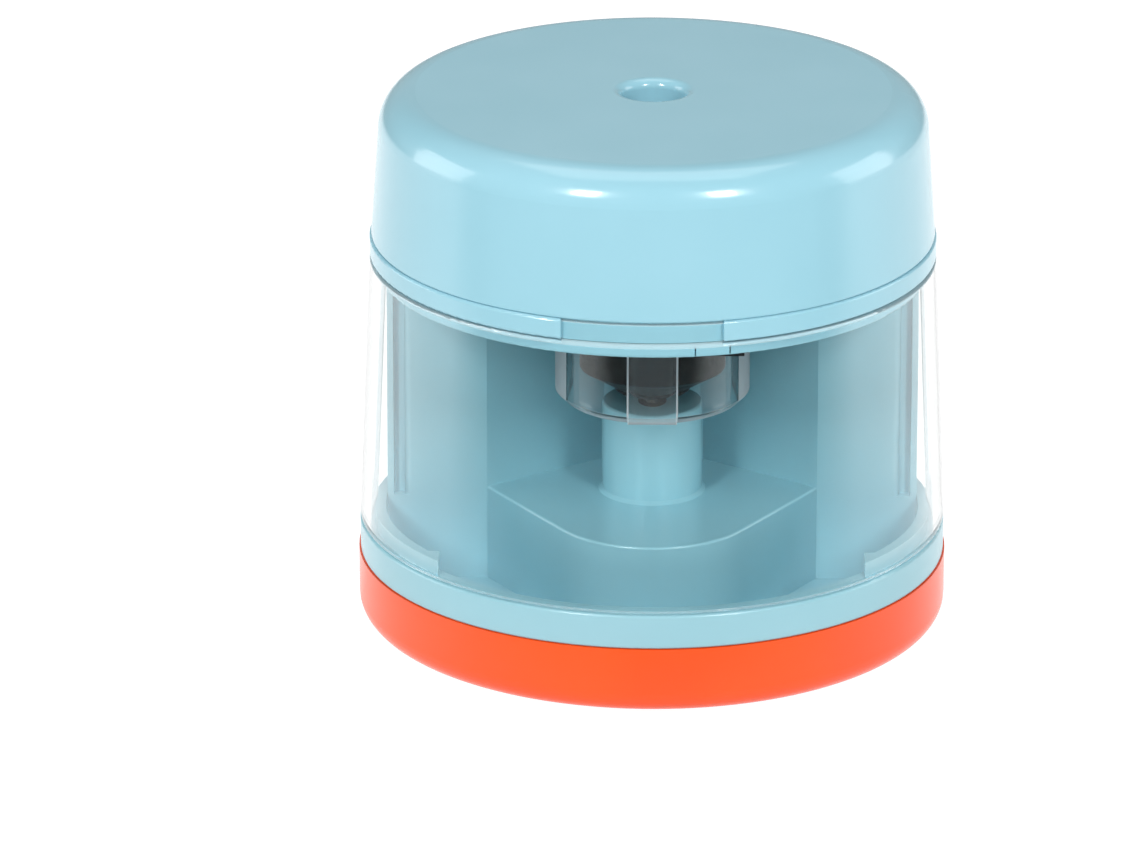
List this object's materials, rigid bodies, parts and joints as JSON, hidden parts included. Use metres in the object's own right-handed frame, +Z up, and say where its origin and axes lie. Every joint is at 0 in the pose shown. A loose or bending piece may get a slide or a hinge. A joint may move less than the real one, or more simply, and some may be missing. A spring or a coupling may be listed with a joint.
{
  "type": "electric pencil sharpener",
  "caption": "Drum-shaped battery pencil sharpener with a light blue cap and body, a clear pull-off shavings cover, an orange base and a motor-driven cutter.",
  "frame": {"origin": "centre of the underside, on the surface that the feet rest on", "axes": "+Z up along the pencil hole and the cutter's axis, clear cover faces -Y, +X to the right"},
  "size_m": [0.08, 0.08, 0.0747],
  "materials": {
    "light_blue_abs": "gloss",
    "orange_abs": "gloss",
    "rubber_pad": "matte",
    "clear_styrene": "clear gloss",
    "black_cutter": "satin",
    "ground_steel": "ground",
    "zinc_screw": "zinc plated",
    "brass_bush": "turned",
    "white_acetal": "satin",
    "natural_abs": "satin",
    "spring_steel": "nickel plated",
    "bronze_leaf": "rolled",
    "black_abs": "satin",
    "zinc_can": "zinc plated",
    "nylon_cap": "satin",
    "ferrite": "sintered",
    "rotor_steel": "laminated",
    "cell_wrap": "printed sleeve, plain"
  },
  "bodies": {
    "casing": {"lower_body": "light_blue_abs", "upper_deck": "light_blue_abs", "top_cap": "light_blue_abs", "base": "orange_abs", "front_feet": "rubber_pad", "cutter_guard": "clear_styrene", "idler_axle": "ground_steel", "base_screws": "zinc_screw", "deck_screws": "zinc_screw", "gear_plate_screws": "zinc_screw", "motor_clamp_screws": "zinc_screw", "column_bush": "brass_bush", "gear_plate": "natural_abs", "contact_holder": "natural_abs", "motor_clamp": "natural_abs", "return_spring": "spring_steel", "start_switch_leaves": "bronze_leaf", "top_contact_strip": "bronze_leaf", "motor_terminals": "bronze_leaf", "switch_block": "black_abs", "cover_switch": "black_abs", "motor_can": "zinc_can", "motor_end_cap": "nylon_cap", "motor_magnets": "ferrite", "aa_cells": "cell_wrap"},
    "cover": {"clear_cover": "clear_styrene"},
    "cover_button": {"interlock_button": "light_blue_abs"},
    "door": {"battery_door": "orange_abs", "door_feet": "rubber_pad", "door_contacts": "spring_steel"},
    "press": {"thrust_cup": "white_acetal"},
    "spindle": {"drive_shaft": "ground_steel", "output_gear": "white_acetal", "cutter_head": "black_cutter", "blade": "ground_steel", "blade_screw": "zinc_screw"},
    "idler": {"idler_gear": "white_acetal"},
    "motor_rotor_body": {"motor_shaft": "ground_steel", "motor_pinion": "white_acetal", "motor_rotor": "rotor_steel"}
  },
  "joints": [
    {"name": "cover_slide", "type": "slide", "parent": "casing", "child": "cover", "axis": [0, -1, 0], "range_m": [0, 0.05]},
    {"name": "cover_button_slide", "type": "slide", "parent": "casing", "child": "cover_button", "axis": [0, -1, 0], "range_m": [0, 0.0015]},
    {"name": "battery_door_slide", "type": "slide", "parent": "casing", "child": "door", "axis": [0, 1, 0], "range_m": [0, 0.035]},
    {"name": "pencil_press", "type": "slide", "parent": "casing", "child": "press", "axis": [0, 0, -1], "range_m": [0, 0.0008], "stiffness_N_per_m": 2000, "springref_m": -0.0005, "deforming": ["return_spring"]},
    {"name": "cutter_spin", "type": "hinge", "parent": "press", "child": "spindle", "pos_m": [0, 0, 0.03], "axis": [0, 0, 1], "continuous": true},
    {"name": "idler_spin", "type": "hinge", "parent": "casing", "child": "idler", "pos_m": [0, 0.0125, 0.0134], "axis": [0, 0, 1], "continuous": true},
    {"name": "motor_spin", "type": "hinge", "parent": "casing", "child": "motor_rotor_body", "pos_m": [0, 0.025, 0.03], "axis": [0, 0, 1], "continuous": true}
  ],
  "couplings": [
    {"joint": "cover_button_slide", "follows": "cover_slide", "ratio": 0.03},
    {"joint": "idler_spin", "follows": "motor_spin", "ratio": -0.25},
    {"joint": "cutter_spin", "follows": "motor_spin", "ratio": 0.0625}
  ]
}
